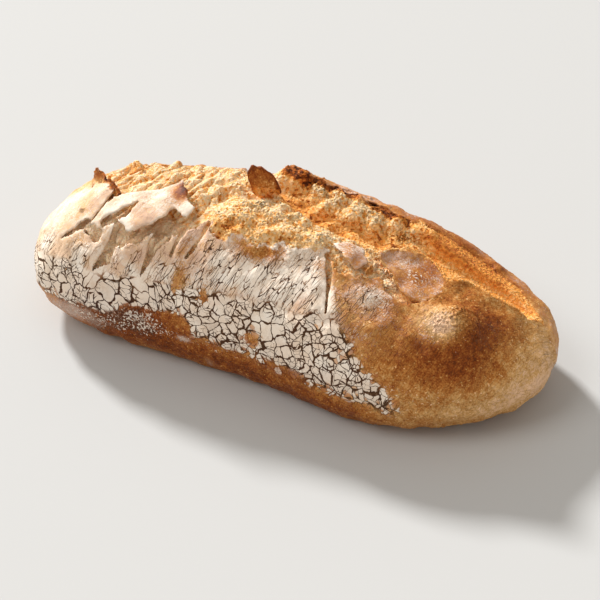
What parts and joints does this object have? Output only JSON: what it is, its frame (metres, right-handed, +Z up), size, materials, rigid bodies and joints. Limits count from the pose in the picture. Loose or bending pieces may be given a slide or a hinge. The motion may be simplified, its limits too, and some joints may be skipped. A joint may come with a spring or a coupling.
{
  "type": "wheat bread loaf",
  "caption": "Rustic oval wheat loaf with a floured crust, burst open along its crest into a torn crumb channel with a raised ear, lifted lip and curled crust shards.",
  "frame": {"origin": "under the middle of the loaf, on the surface that it rests on", "axes": "+X along the loaf towards its lower end, +Y across it from the floured side to the ear's side, +Z up"},
  "size_m": [0.3, 0.1355, 0.0998],
  "materials": {
    "crust": "dry baked wheat crust, golden brown, dusted with flour on one side, torn golden crumb in the split"
  },
  "bodies": {
    "root": {"loaf": "crust"}
  },
  "joints": []
}
